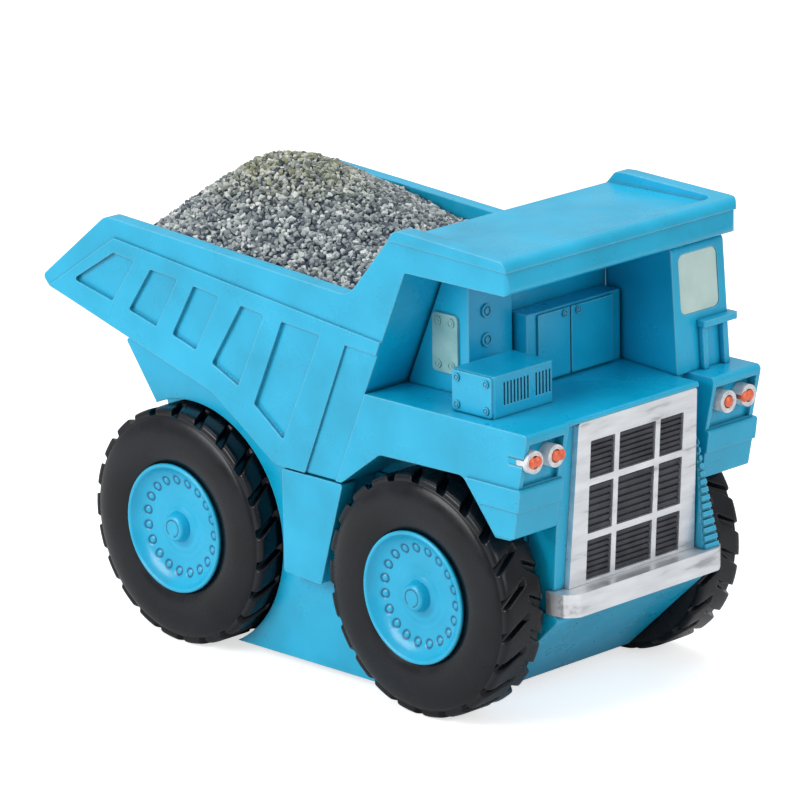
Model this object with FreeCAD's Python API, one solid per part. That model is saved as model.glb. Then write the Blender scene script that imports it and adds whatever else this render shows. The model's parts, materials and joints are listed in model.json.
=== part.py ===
import FreeCAD, Part
import math
import os

# Toy quarry dump truck. Millimetres, +X forward, +Y the truck's left (cab side), +Z up.
# The origin is under the middle of the truck, on the floor that its tyres stand on.

# ---- Driving dimensions -------------------------------------------------------------------
TYRE_RADIUS = 38.2
TYRE_INNER_Y = 34.6            # face of the tyre that looks at the chassis
TYRE_OUTER_Y = 54.3            # crown of the bulging outer sidewall
BEAD_RADIUS = 20.2             # seat of the tyre on its rim
RIM_RADIUS = 20.9
HUB_FACE_Y = 54.8              # outermost face of the truck
AXLE_RADIUS = 2.0
AXLE_END_Y = 51.0
RUNNING_GAP = 0.05             # radial clearance of a pin that turns in a bore
FRONT_AXLE_X = 60.7
WHEELBASE = 105.6
REAR_AXLE_X = FRONT_AXLE_X - WHEELBASE
AXLE_Z = TYRE_RADIUS
TREAD_BLOCKS = 22
RIM_STUDS = 19

FLOOR_GAP = 3.0                # daylight under the belly
BELLY_HALF_Y = 44.4
WELL_WALL_Y = 33.4             # inner wall of the wheel wells
WELL_RADIUS = TYRE_RADIUS + 1.4
CAVITY_HALF_Y = 29.6           # hollow inside the chassis, closed by the base plate
PLATE_THICK = 3.0
BODY_RIGHT_Y = -50.4           # outer skin of the bed and of the front body, right side
BED_LEFT_Y = 52.0              # the left side stands a little further out
FENDER_LEFT_Y = 53.8
DECK_Z = 97.2
DECK_FRONT_X = 105.9
SEAM_Z = 67.0                  # bottom edge of the bed and of the front body's flanks
SEAM_X = 24.2                  # headboard's front face at SEAM_Z
HEAD_LEAN = 0.436              # forward lean of that face, mm of x per mm of z
SEAM_GAP = 0.5                 # gap between the bed and everything that stays still

TAIL_X = -107.6                # rearmost tip of the bed
RAIL_RIGHT_Y = -44.4           # inner faces of the bed's side walls
RAIL_LEFT_Y = 46.8
SKIN_STEP = 0.8                # the ribbed side panels stand this proud of the walls
CANOPY_BOTTOM_Z = 138.0
CANOPY_TOP_Z = 149.0
CANOPY_FRONT_X = 97.4
CANOPY_LEFT_Y = 54.4           # the canopy flares out to the left front
HINGE_X = -68.9
HINGE_Z = 89.4
HINGE_PIN_RADIUS = 1.5
KNUCKLE_RADIUS = 5.4

FRAME_BOTTOM_Z = 43.4          # the grille frame stands on the bumper
FRAME_TOP_Z = 95.4
FRAME_BOTTOM_X = 101.2         # front face of the frame, which leans forward
FRAME_LEAN = 0.058
FRAME_THICK = 2.0
BUMPER_FRONT_X = 107.0
LENS_FRONT_X = 107.6


def vec(x, y, z):
    return FreeCAD.Vector(x, y, z)


def head_x(z, gap=0.0):
    """x of the headboard's front face at height z, moved forward by gap."""
    return SEAM_X + HEAD_LEAN * (z - SEAM_Z) + gap


def frame_x(z, back=0.0):
    """x of the grille frame's front face at height z, moved backward by back."""
    return FRAME_BOTTOM_X + FRAME_LEAN * (z - FRAME_BOTTOM_Z) - back


def rounded_wire(corners, lift):
    """Closed wire through corners (a, b) or (a, b, radius); lift places a point in space."""
    count = len(corners)
    flat = [vec(c[0], c[1], 0) for c in corners]
    ends = []
    for i, corner in enumerate(corners):
        here = flat[i]
        if len(corner) == 2:
            ends.append((here, None, here))
            continue
        to_last = (flat[i - 1] - here).normalize()
        to_next = (flat[(i + 1) % count] - here).normalize()
        half = to_last.getAngle(to_next) / 2
        radius = corner[2]
        reach = radius / math.tan(half)
        bisector = (to_last + to_next).normalize()
        middle = here + bisector * (radius / math.sin(half) - radius)
        ends.append((here + to_last * reach, middle, here + to_next * reach))
    edges = []
    for i, (first, middle, last) in enumerate(ends):
        if middle is not None:
            edges.append(Part.Arc(lift(first), lift(middle), lift(last)).toShape())
        following = ends[(i + 1) % count][0]
        if (following - last).Length > 1e-6:
            edges.append(Part.LineSegment(lift(last), lift(following)).toShape())
    return Part.Wire(edges)


def slab_y(corners, low, high):
    """Solid whose x-z outline is corners, from y = low to y = high."""
    wire = rounded_wire(corners, lambda p: vec(p.x, low, p.y))
    return Part.Face(wire).extrude(vec(0, high - low, 0))


def slab_x(corners, low, high):
    """Solid whose y-z outline is corners, from x = low to x = high."""
    wire = rounded_wire(corners, lambda p: vec(low, p.x, p.y))
    return Part.Face(wire).extrude(vec(high - low, 0, 0))


def slab_z(corners, low, high):
    """Solid whose x-y outline is corners, from z = low to z = high."""
    wire = rounded_wire(corners, lambda p: vec(p.x, p.y, low))
    return Part.Face(wire).extrude(vec(0, 0, high - low))


def block(x0, x1, y0, y1, z0, z1):
    return Part.makeBox(x1 - x0, y1 - y0, z1 - z0, vec(x0, y0, z0))


def rod_y(radius, x, z, low, high):
    return Part.makeCylinder(radius, high - low, vec(x, low, z), vec(0, 1, 0))


def rod_x(radius, y, z, low, high):
    return Part.makeCylinder(radius, high - low, vec(low, y, z), vec(1, 0, 0))


def fused(shapes):
    """One clean solid from shapes that touch or overlap."""
    whole = shapes[0].fuse(shapes[1:]) if len(shapes) > 1 else shapes[0]
    whole = whole.removeSplitter()
    return whole.Solids[0] if len(whole.Solids) == 1 else whole


def mirrored_y(shape):
    return shape.mirror(vec(0, 0, 0), vec(0, 1, 0))


def both_sides(shape):
    """The shape and its mirror image across the truck's middle plane."""
    return [shape, mirrored_y(shape)]


# ---- Wheels -------------------------------------------------------------------------------
def tyre():
    """Tyre about the Y axis, outer side towards +Y, with lug blocks cut in its tread."""
    crown = TYRE_RADIUS
    shoulder = crown - 2.3
    bead_outer = vec(BEAD_RADIUS, 52.6, 0)
    bead_inner = vec(BEAD_RADIUS, 36.4, 0)
    inner_edge = vec(crown, 37.8, 0)
    outer_edge = vec(crown, 50.6, 0)
    inner_shoulder = vec(shoulder, 35.5, 0)
    outer_shoulder = vec(shoulder, 52.9, 0)
    path = [
        Part.LineSegment(bead_outer, bead_inner),
        Part.Arc(bead_inner, vec(28.5, TYRE_INNER_Y, 0), inner_shoulder),
        Part.Arc(inner_shoulder, vec(crown - 0.7, 36.2, 0), inner_edge),
        Part.LineSegment(inner_edge, outer_edge),
        Part.Arc(outer_edge, vec(crown - 0.7, 52.2, 0), outer_shoulder),
        Part.Arc(outer_shoulder, vec(28.5, TYRE_OUTER_Y, 0), bead_outer),
    ]
    section = Part.Face(Part.Wire([curve.toShape() for curve in path]))
    carcass = section.revolve(vec(0, 0, 0), vec(0, 1, 0), 360)
    return carcass.cut(tread_grooves(crown)).Solids[0]


def tread_grooves(crown):
    """Slanted grooves from both shoulders, the inner ones half a pitch on from the outer ones."""
    width = 3.2
    depth = 2.0
    slant = 31
    reach = 14.0
    middle_y = 42.8
    grooves = []
    for side in (-1, 1):
        for i in range(TREAD_BLOCKS):
            groove = Part.makeBox(width, reach, 6.0, vec(-width / 2, 1.2, crown - depth))
            groove.rotate(vec(0, 0, 0), vec(0, 0, 1), -slant)
            if side < 0:
                groove = mirrored_y(groove)
            groove.translate(vec(0, middle_y, 0))
            turn = 360.0 * (i + 0.5 + 0.25 * side) / TREAD_BLOCKS
            groove.rotate(vec(0, 0, 0), vec(0, 1, 0), turn)
            grooves.append(groove)
    return grooves


def rim():
    """Dished steel-style rim about the Y axis, outer side towards +Y, bored for the axle."""
    corners = [
        (AXLE_RADIUS, 40.0), (6.0, 40.0), (6.0, 46.5), (17.3, 46.5), (18.2, 38.6),
        (BEAD_RADIUS, 38.6), (BEAD_RADIUS, 52.6), (RIM_RADIUS, 53.4), (RIM_RADIUS, 54.2, 0.3),
        (19.9, 54.6, 0.3), (19.1, 53.8), (17.9, 51.6, 2.0), (15.0, 50.2, 3.0), (9.0, 50.0, 3.0),
        (5.6, 51.2, 1.0), (AXLE_RADIUS, 51.2),
    ]
    wire = rounded_wire(corners, lambda p: vec(p.x, p.y, 0))
    disc = Part.Face(wire).revolve(vec(0, 0, 0), vec(0, 1, 0), 360)
    stud_circle = 15.0
    studs = []
    for i in range(RIM_STUDS):
        turn = 2 * math.pi * i / RIM_STUDS
        x = stud_circle * math.cos(turn)
        z = stud_circle * math.sin(turn)
        ring = rod_y(1.4, x, z, 49.6, 50.8).cut(rod_y(0.85, x, z, 49.0, 51.0))
        studs.append(ring)
    return fused([disc] + studs)


def hub_cap():
    """Tapered cap over the axle's end, with a raised ring on its face."""
    corners = [
        (0, AXLE_END_Y + 0.1), (AXLE_RADIUS, AXLE_END_Y + 0.1), (AXLE_RADIUS, 51.2), (4.9, 51.2),
        (4.1, HUB_FACE_Y - 0.3, 0.6), (2.9, HUB_FACE_Y - 0.3), (2.9, HUB_FACE_Y), (2.3, HUB_FACE_Y),
        (2.3, HUB_FACE_Y - 0.3), (0, HUB_FACE_Y - 0.3),
    ]
    wire = rounded_wire(corners, lambda p: vec(p.x, p.y, 0))
    return Part.Face(wire).revolve(vec(0, 0, 0), vec(0, 1, 0), 360)


def wheel_parts():
    """Axles, rims, tyres and hub caps, placed at the truck's four corners."""
    pieces = {}
    shapes = {"tyre": tyre(), "rim": rim(), "hub_cap": hub_cap()}
    for end, x in (("front", FRONT_AXLE_X), ("rear", REAR_AXLE_X)):
        pieces[end + "_axle"] = rod_y(AXLE_RADIUS, x, AXLE_Z, -AXLE_END_Y, AXLE_END_Y)
        for side in ("left", "right"):
            for kind, shape in shapes.items():
                placed = shape.copy() if side == "left" else mirrored_y(shape)
                placed.translate(vec(x, 0, AXLE_Z))
                pieces["%s_%s_%s" % (end, side, kind)] = placed
    return pieces


# ---- Chassis ------------------------------------------------------------------------------
KNEE = (-28.8, 84.7)           # bed's bottom edge: shallow behind the knee, steep before it
HEEL = (-2.0, SEAM_Z)
TAIL_LOW = (-104.6, 105.7)


def bed_bottom_z(x):
    """Height of the bed's underside behind the knee."""
    slope = (KNEE[1] - TAIL_LOW[1]) / (KNEE[0] - TAIL_LOW[0])
    return KNEE[1] + slope * (x - KNEE[0])


SCREW_PLACES = [(x, y) for x in (-46.0, 54.0) for y in (-24.0, 24.0)]
SCREW_RADIUS = 1.5


def chassis():
    """Belly and rear frame in one moulding, hollow inside, with wheel wells and axle bores."""
    gap = 0.6
    outline = [
        (-58.0, FLOOR_GAP, 2.0), (-60.7, 73.2, 8.0), (-74.7, 92.4, 0.8), (-69.9, 95.4, 3.0),
        (KNEE[0] - 0.3, KNEE[1] - gap, 6.0), (HEEL[0] - 0.3, HEEL[1] - gap, 5.0),
        (88.0, SEAM_Z - gap), (88.0, 36.0), (103.6, 36.0, 1.5), (67.9, FLOOR_GAP, 4.0),
    ]
    body = slab_y(outline, -BELLY_HALF_Y, BELLY_HALF_Y)
    tail = [(-56.0, 30.0), (-58.4, 40.0), (-67.5, 68.0), (-73.6, 90.9), (-56.0, 86.0)]
    body = fused([body, slab_y(tail, -WELL_WALL_Y, WELL_WALL_Y)])
    cutters = []
    for x in (FRONT_AXLE_X, REAR_AXLE_X):
        cutters += both_sides(rod_y(WELL_RADIUS, x, AXLE_Z, WELL_WALL_Y, 60.0))
    cutters += both_sides(block(FRONT_AXLE_X, 120.0, WELL_WALL_Y, 60.0, 0.0, 80.0))
    cutters += both_sides(block(25.0, 70.0, WELL_WALL_Y, 60.0, 20.0, 80.0))
    cutters.append(block(-52.0, 62.0, -CAVITY_HALF_Y, CAVITY_HALF_Y, 0.0, 62.0))
    cutters.append(hinge_pocket())
    body = body.cut(cutters)
    bosses = []
    for x in (FRONT_AXLE_X, REAR_AXLE_X):
        boss = rod_y(6.0, x, AXLE_Z, 26.0, WELL_WALL_Y)
        bosses += both_sides(boss)
    body = fused([body] + bosses + screw_posts() + chassis_knuckles())
    bores = [rod_y(AXLE_RADIUS + RUNNING_GAP, x, AXLE_Z, -60, 60) for x in (FRONT_AXLE_X, REAR_AXLE_X)]
    bores += [screw_hole(x, y) for x, y in SCREW_PLACES]
    return body.cut(bores).Solids[0]


def screw_posts():
    """Screw posts that stand in the hollow, above the base plate's corners."""
    posts = []
    foot_z = FLOOR_GAP + PLATE_THICK
    height = 20.0
    for x, y in SCREW_PLACES:
        posts.append(Part.makeCylinder(4.0, height, vec(x, y, foot_z)))
        wall = 1 if y > 0 else -1
        low, high = sorted((y, wall * (CAVITY_HALF_Y + 1.0)))
        posts.append(block(x - 2.0, x + 2.0, low, high, foot_z, foot_z + height))
    return posts


def screw_hole(x, y):
    return Part.makeCylinder(SCREW_RADIUS, 14.0, vec(x, y, FLOOR_GAP))


KNUCKLE_Y = (10.0, 18.0)       # the chassis saddles, one each side
LUG_Y = ((4.0, 9.6), (18.4, 24.0))
POCKET_HALF_Y = 26.0


def hinge_pocket():
    """Room in the chassis round the hinge, open to the rear and to the top."""
    around = rod_y(KNUCKLE_RADIUS + 1.2, HINGE_X, HINGE_Z, -POCKET_HALF_Y, POCKET_HALF_Y)
    above = block(-90.0, HINGE_X, -POCKET_HALF_Y, POCKET_HALF_Y, HINGE_Z - KNUCKLE_RADIUS - 1.2, 110.0)
    front = block(HINGE_X, HINGE_X + KNUCKLE_RADIUS + 1.2, -POCKET_HALF_Y, POCKET_HALF_Y, HINGE_Z, 110.0)
    return fused([around, above, front])


def chassis_knuckles():
    """Two snap-in saddles for the hinge pin, open towards the rear."""
    saddles = []
    for low, high in (KNUCKLE_Y, (-KNUCKLE_Y[1], -KNUCKLE_Y[0])):
        saddle = fused([
            rod_y(KNUCKLE_RADIUS - 0.4, HINGE_X, HINGE_Z, low, high),
            slab_y([(HINGE_X - 3.4, HINGE_Z - 2.0), (HINGE_X + 3.6, HINGE_Z), (HINGE_X + 9.0, HINGE_Z - 12.0),
                    (HINGE_X + 2.0, HINGE_Z - 12.0)], low, high),
        ])
        bore = rod_y(HINGE_PIN_RADIUS + RUNNING_GAP, HINGE_X, HINGE_Z, low - 1, high + 1)
        mouth = slab_y([(HINGE_X - 9.0, HINGE_Z - 1.3), (HINGE_X, HINGE_Z - 1.3), (HINGE_X, HINGE_Z + 1.3),
                        (HINGE_X - 9.0, HINGE_Z + 1.3)], low - 1, high + 1)
        saddles.append(saddle.cut([bore, mouth]).Solids[0])
    return saddles


def base_plate():
    """Cover that closes the chassis from below, flush with the belly."""
    half = CAVITY_HALF_Y - 0.2
    plate = slab_z([(-51.8, -half, 3), (61.8, -half, 3), (61.8, half, 3), (-51.8, half, 3)],
                   FLOOR_GAP, FLOOR_GAP + PLATE_THICK)
    recesses = [Part.makeCylinder(3.2, 1.6, vec(x, y, FLOOR_GAP)) for x, y in SCREW_PLACES]
    holes = [screw_hole(x, y) for x, y in SCREW_PLACES]
    return plate.cut(recesses + holes).Solids[0]


def base_screws():
    """Four pan-head screws with a cross recess."""
    screws = []
    for x, y in SCREW_PLACES:
        head = Part.makeCylinder(2.9, 1.4, vec(x, y, FLOOR_GAP + 0.2))
        shank = Part.makeCylinder(SCREW_RADIUS, 12.0, vec(x, y, FLOOR_GAP + 1.6))
        slots = [block(x - 1.8, x + 1.8, y - 0.35, y + 0.35, FLOOR_GAP, FLOOR_GAP + 0.9),
                 block(x - 0.35, x + 0.35, y - 1.8, y + 1.8, FLOOR_GAP, FLOOR_GAP + 0.9)]
        screws.append(fused([head, shank]).cut(slots).Solids[0])
    return Part.makeCompound(screws)


def side_tank(side):
    """Tank that fills the space between the wheels, under the bed's lower edge."""
    outline = [(1.0, SEAM_Z - 0.7, 0.8), (27.4, SEAM_Z - 0.7, 0.8), (17.2, 32.0, 1.2), (1.0, 33.0, 1.2)]
    tank = slab_y(outline, BELLY_HALF_Y, -BODY_RIGHT_Y - 0.2)
    return tank if side == "left" else mirrored_y(tank)


# ---- Front body ---------------------------------------------------------------------------
FENDER_INNER_Y = 32.2
LADDER_INNER_Y = 26.6
ARCH = [(28.0, 67.6), (43.9, 79.2), (79.0, 79.8), (92.4, 63.2)]


def flank_outline():
    """Side view of the front body's outer skin, with the wheel arch cut out."""
    return [
        (head_x(SEAM_Z, SEAM_GAP), SEAM_Z), (head_x(DECK_Z, SEAM_GAP), DECK_Z),
        (DECK_FRONT_X, DECK_Z, 1.5), (DECK_FRONT_X - 0.4, DECK_Z - 2.6, 0.8), (102.2, 79.9),
        (101.2, 72.8), (99.0, 63.4, 1.0), ARCH[3], (ARCH[2][0], ARCH[2][1], 4.0),
        (ARCH[1][0], ARCH[1][1], 4.0), ARCH[0], (27.0, SEAM_Z),
    ]


def fender_block(outer):
    """Flank and front fender as far out as y = outer, with its stepped lower front corner."""
    flank = slab_y(flank_outline(), WELL_WALL_Y, outer)
    corner = slab_y([(88.0, DECK_Z), (DECK_FRONT_X, DECK_Z, 1.5), (DECK_FRONT_X - 0.4, DECK_Z - 2.6, 0.8),
                     (102.2, 79.9), (101.2, 72.8), (99.0, 63.4, 1.0), (92.4, 63.2), (88.0, 68.5)],
                    FENDER_INNER_Y, WELL_WALL_Y + 0.2)
    upper_step = slab_y([(80.0, 79.9, 0.6), (103.6, 79.9, 0.8), (102.6, 72.8), (86.3, 72.8)],
                        FENDER_INNER_Y, outer + 0.9)
    lower_step = slab_y([(86.0, 73.2), (102.0, 73.2), (100.2, 64.0, 0.8), (92.2, 64.0)],
                        FENDER_INNER_Y, outer + 0.3)
    lamp_recess = slab_y([(101.8, 94.0), (108.0, 94.0), (108.0, 80.4), (100.9, 80.4)],
                         FENDER_INNER_Y + 1.6, outer - 1.6)
    return fused([flank, corner, upper_step, lower_step]).cut(lamp_recess)


def front_body():
    """Deck, fenders and radiator housing in one moulding."""
    centre = slab_y([
        (head_x(SEAM_Z, SEAM_GAP), SEAM_Z), (head_x(DECK_Z, SEAM_GAP), DECK_Z),
        (DECK_FRONT_X - 1.0, DECK_Z, 1.0), (DECK_FRONT_X - 1.4, FRAME_TOP_Z + 0.2), (frame_x(FRAME_TOP_Z, FRAME_THICK), FRAME_TOP_Z + 0.2),
        (frame_x(FRAME_BOTTOM_Z, FRAME_THICK), FRAME_BOTTOM_Z), (96.8, FRAME_BOTTOM_Z), (96.8, 36.2),
        (88.6, 36.2), (88.6, SEAM_Z),
    ], -FENDER_INNER_Y - 0.1, FENDER_INNER_Y + 0.1)
    deck = block(60.0, 90.0, -WELL_WALL_Y - 0.1, WELL_WALL_Y + 0.1, 80.0, DECK_Z)
    rear = slab_y([(head_x(SEAM_Z, SEAM_GAP), SEAM_Z), (head_x(DECK_Z, SEAM_GAP), DECK_Z), (70.0, DECK_Z),
                   (70.0, SEAM_Z)], -WELL_WALL_Y - 0.1, WELL_WALL_Y + 0.1)
    ladder_notch = block(93.1, 120.0, LADDER_INNER_Y, FENDER_INNER_Y + 0.2, 30.0, 120.0)
    lamp_bores = [rod_x(BEZEL_RADIUS, y, LAMP_Z, LAMP_BACK_X, 120.0) for y in LAMP_Y]
    hollow = block(50.0, 86.0, -30.0, 30.0, SEAM_Z - 1, DECK_Z - 3.5)
    shape = fused([centre, deck, rear, fender_block(FENDER_LEFT_Y), mirrored_y(fender_block(-BODY_RIGHT_Y))])
    return shape.cut([ladder_notch, hollow] + lamp_bores).Solids[0]


LAMP_Y = (-47.0, -37.8, 38.9, 48.2)
LAMP_Z = 88.4
LAMP_BACK_X = 98.0
BEZEL_RADIUS = 3.5
LENS_RADIUS = 2.1


def front_bumper():
    """Bar in front of the radiator, with ends that sweep back."""
    plan = [
        (BUMPER_FRONT_X, -29.6, 3.0), (BUMPER_FRONT_X, 33.0, 3.0), (104.4, 36.6, 2.0), (99.5, 37.4, 0.8),
        (99.5, 33.6), (97.0, 33.6), (97.0, -33.8), (99.0, -33.8, 1.0), (104.2, -33.0, 2.0),
    ]
    return slab_z(plan, 36.1, FRAME_BOTTOM_Z - 0.1)


FRAME_HALF_TOP = 26.3
FRAME_HALF_BOTTOM = 28.0


def tilted_plate(corners, thick, back):
    """Plate in the leaning plane of the grille, back mm behind the frame's front face."""
    shape = slab_x(corners, frame_x(FRAME_BOTTOM_Z, back + thick), frame_x(FRAME_BOTTOM_Z, back))
    shear = FreeCAD.Matrix()
    shear.A13 = FRAME_LEAN
    shear.A14 = -FRAME_LEAN * FRAME_BOTTOM_Z
    return shape.transformGeometry(shear)


GRILLE_COLUMNS = (-21.7, -8.9, 9.2, 21.7)
GRILLE_ROWS = (43.4, 58.2, 75.6, 89.8)
HALF_BAR = 1.05
LOUVRES_PER_PANE = 7
BACKING_THICK = 0.7


def grille_frame():
    """Silver frame: a top bar, two stiles and thin bars that part it into nine panes."""
    outer = [(-FRAME_HALF_BOTTOM, FRAME_BOTTOM_Z), (FRAME_HALF_BOTTOM, FRAME_BOTTOM_Z),
             (FRAME_HALF_TOP, FRAME_TOP_Z, 1.0), (-FRAME_HALF_TOP, FRAME_TOP_Z, 1.0)]
    plate = tilted_plate(outer, FRAME_THICK, 0.0)
    panes = []
    for row in range(3):
        low = GRILLE_ROWS[row] + HALF_BAR
        high = GRILLE_ROWS[row + 1] - HALF_BAR
        for column in range(3):
            left = GRILLE_COLUMNS[column] + HALF_BAR
            right = GRILLE_COLUMNS[column + 1] - HALF_BAR
            pane = [(left, low, 0.4), (right, low, 0.4), (right, high, 0.4), (left, high, 0.4)]
            panes.append(tilted_plate(pane, FRAME_THICK + 2.0, -1.0))
    return plate.cut(panes + [grille_backing(0.1)]).Solids[0]


def grille_backing(extra):
    """Flat rear part of the louvred panel, or with extra the pocket that holds it."""
    half_width = GRILLE_COLUMNS[-1] + extra
    low = GRILLE_ROWS[0] + 0.7 - extra
    high = GRILLE_ROWS[-1] + extra
    return tilted_plate([(-half_width, low), (half_width, low), (half_width, high), (-half_width, high)],
                        BACKING_THICK + extra, FRAME_THICK - BACKING_THICK)


def radiator_grille():
    """Black louvred panel behind the frame, with one ridge per louvre."""
    backing = grille_backing(0.0)
    louvres = []
    bar_space = HALF_BAR + 0.15
    for row in range(3):
        bottom = GRILLE_ROWS[row] + bar_space
        pitch = (GRILLE_ROWS[row + 1] - bar_space - bottom) / LOUVRES_PER_PANE
        for column in range(3):
            left = GRILLE_COLUMNS[column] + bar_space
            right = GRILLE_COLUMNS[column + 1] - bar_space
            for i in range(LOUVRES_PER_PANE):
                z = bottom + pitch * (i + 0.2)
                ridge = [(left, z), (right, z), (right, z + 0.6 * pitch), (left, z + 0.6 * pitch)]
                louvres.append(tilted_plate(ridge, 0.7, FRAME_THICK - 1.3))
    return fused([backing] + louvres)


def headlights():
    """Bezels and domed lenses, two on each fender."""
    bezels = []
    lenses = []
    lens_back_x = 103.6
    bezel_front_x = 105.8
    dome_radius = 4.4
    for y in LAMP_Y:
        bezel = rod_x(BEZEL_RADIUS, y, LAMP_Z, LAMP_BACK_X, bezel_front_x)
        bezels.append(bezel.cut(rod_x(LENS_RADIUS, y, LAMP_Z, lens_back_x, bezel_front_x + 1)))
        dome = Part.makeSphere(dome_radius, vec(LENS_FRONT_X - dome_radius, y, LAMP_Z))
        lens = dome.common(rod_x(LENS_RADIUS, y, LAMP_Z, lens_back_x, LENS_FRONT_X + 1))
        lenses.append(lens.Solids[0])
    return Part.makeCompound(bezels), Part.makeCompound(lenses)


# ---- Dump bed -----------------------------------------------------------------------------
WALL_RIGHT_Y = BODY_RIGHT_Y + SKIN_STEP
WALL_LEFT_Y = BED_LEFT_Y - SKIN_STEP
FLOOR_THICK = 4.0
HEAD_THICK_X = 10.0            # headboard, measured along x
VALLEY = (31.0, 126.6)         # where the rail turns up to the headboard
HEAD_TOP = (51.4, 150.4)
RAIL_REAR = (-77.3, 133.2)


def bed_outline(grow=0.0):
    """Side view of the bed with its canopy, whose front is moved forward by grow."""
    return [
        TAIL_LOW, (TAIL_X, 108.8, 1.6), (RAIL_REAR[0], RAIL_REAR[1], 6.0), (-46.0, 131.4, 60.0),
        (VALLEY[0], VALLEY[1], 9.0), (HEAD_TOP[0], HEAD_TOP[1], 3.0), (55.5, 150.6, 3.0),
        (CANOPY_FRONT_X - 1.0 + grow, CANOPY_TOP_Z - 0.6, 3.0),
        (CANOPY_FRONT_X + 0.8 + grow, CANOPY_BOTTOM_Z, 2.0),
        (head_x(CANOPY_BOTTOM_Z), CANOPY_BOTTOM_Z, 1.0), (SEAM_X, SEAM_Z), (HEEL[0], HEEL[1], 8.0),
        (KNEE[0], KNEE[1], 14.0),
    ]


def cavity_outline():
    """Side view of the room for the load: open above and to the rear."""
    inner_low = SEAM_Z + FLOOR_THICK + 0.6
    head_low = head_x(inner_low) - HEAD_THICK_X
    head_high = head_x(HEAD_TOP[1]) - HEAD_THICK_X
    return [
        (-120.0, bed_bottom_z(-120.0) + FLOOR_THICK), (KNEE[0] + 0.6, KNEE[1] + FLOOR_THICK, 14.0),
        (HEEL[0] + 1.6, inner_low, 6.0), (head_low, inner_low, 6.0), (head_high, HEAD_TOP[1]),
        (head_high, 170.0), (-120.0, 170.0),
    ]


SIDE_PANEL = [
    (-104.0, 106.2), (-72.8, 127.0, 1.5), (head_x(114.6), 114.6), (head_x(110.2), 110.2), (29.9, 111.1),
    (11.3, SEAM_Z), (HEEL[0], HEEL[1], 8.0), (KNEE[0], KNEE[1], 14.0),
]
RIB_PANELS = [
    [(-73.1, 122.2), (-63.4, 121.2), (-74.3, 106.3), (-92.3, 110.3)],
    [(-56.2, 119.7), (-43.7, 118.8), (-54.2, 101.6), (-66.7, 104.8)],
    [(-36.7, 117.8), (-25.1, 116.4), (-36.4, 97.3), (-47.0, 100.3)],
    [(-15.6, 115.3), (-5.3, 114.2), (-17.6, 89.2), (-29.3, 94.3)],
    [(2.4, 113.5), (19.2, 112.2), (1.9, 75.7), (-10.7, 84.7)],
]
RIB_DEPTH = 1.3


def hinge_lugs():
    """Two ears under the bed's floor that carry the hinge pin."""
    lugs = []
    for near, far in LUG_Y:
        for low, high in ((near, far), (-far, -near)):
            ear = fused([
                rod_y(4.4, HINGE_X, HINGE_Z, low, high),
                block(HINGE_X - 4.4, HINGE_X + 4.4, low, high, HINGE_Z, bed_bottom_z(HINGE_X) + 1.0),
            ])
            lugs.append(ear.cut(rod_y(HINGE_PIN_RADIUS, HINGE_X, HINGE_Z, low - 1, high + 1)))
    return lugs


def bed_plan(grow):
    """Prism over the bed's plan view, whose canopy flares to the left; grow moves its sides outward."""
    front = CANOPY_FRONT_X + 0.8 + grow
    rear = -130.0
    right = WALL_RIGHT_Y - grow
    left = WALL_LEFT_Y + grow
    flare = CANOPY_LEFT_Y - 0.5 + grow
    plan = [(rear, right), (front, right, 2.4), (front, flare, 6.0), (44.0, left), (rear, left)]
    return slab_z(plan, 0.0, 170.0)


def canopy_bead():
    """Raised bead along the upper edge of the canopy's front and sides."""
    bead = 0.5
    rear = 49.0
    front = CANOPY_FRONT_X + 6.0
    band = slab_y([(rear, 146.9), (front, 145.0), (front, 160.0), (rear, 160.0)], -60.0, 60.0)
    return slab_y(bed_outline(bead), -60.0, 60.0).common(bed_plan(bead)).common(band)


def dump_bed():
    """Load body: ribbed walls, sloping tail, headboard and the canopy over the deck."""
    whole = slab_y(bed_outline(), -60.0, 60.0).common(bed_plan(0.0))
    right_skin = slab_y(SIDE_PANEL, BODY_RIGHT_Y, WALL_RIGHT_Y + 0.2)
    left_skin = slab_y(SIDE_PANEL, WALL_LEFT_Y - 0.2, BED_LEFT_Y)
    whole = fused([whole, canopy_bead(), right_skin, left_skin])
    whole = whole.cut([slab_y(cavity_outline(), RAIL_RIGHT_Y, RAIL_LEFT_Y), canopy_recess()])
    whole = fused([whole] + hinge_lugs())
    fields = []
    for corners in RIB_PANELS:
        rounded = [(x, z, 0.8) for x, z in corners]
        fields.append(slab_y(rounded, BODY_RIGHT_Y - 1.0, BODY_RIGHT_Y + RIB_DEPTH))
        fields.append(slab_y(rounded, BED_LEFT_Y - RIB_DEPTH, BED_LEFT_Y + 1.0))
    return whole.cut(fields).Solids[0]


def canopy_recess():
    """Shallow tray in the canopy's roof, bounded by the raised rim and open to the rear."""
    front = CANOPY_FRONT_X - 5.6
    rear = 38.0
    plan = [(rear, RAIL_LEFT_Y), (rear, RAIL_RIGHT_Y), (front, RAIL_RIGHT_Y, 5.0),
            (front, RAIL_LEFT_Y + 2.0, 5.0)]
    return slab_z(plan, CANOPY_TOP_Z - 2.2, CANOPY_TOP_Z + 10.0)


def bed_hinge_pin():
    return rod_y(HINGE_PIN_RADIUS, HINGE_X, HINGE_Z, -LUG_Y[1][1], LUG_Y[1][1])


def load_floor_z(x):
    """Height of the surface that the load lies on, clear of it by a hair."""
    hair = 0.15
    inner_low = SEAM_Z + FLOOR_THICK + 0.6
    slope = (KNEE[1] + FLOOR_THICK - inner_low) / (KNEE[0] + 0.6 - HEEL[0] - 1.6)
    behind = bed_bottom_z(x) + FLOOR_THICK
    ramp = inner_low + slope * (x - HEEL[0] - 1.6)
    head = SEAM_Z + (x + HEAD_THICK_X - SEAM_X) / HEAD_LEAN
    return max(min(behind, ramp), inner_low, head) + hair


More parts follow.
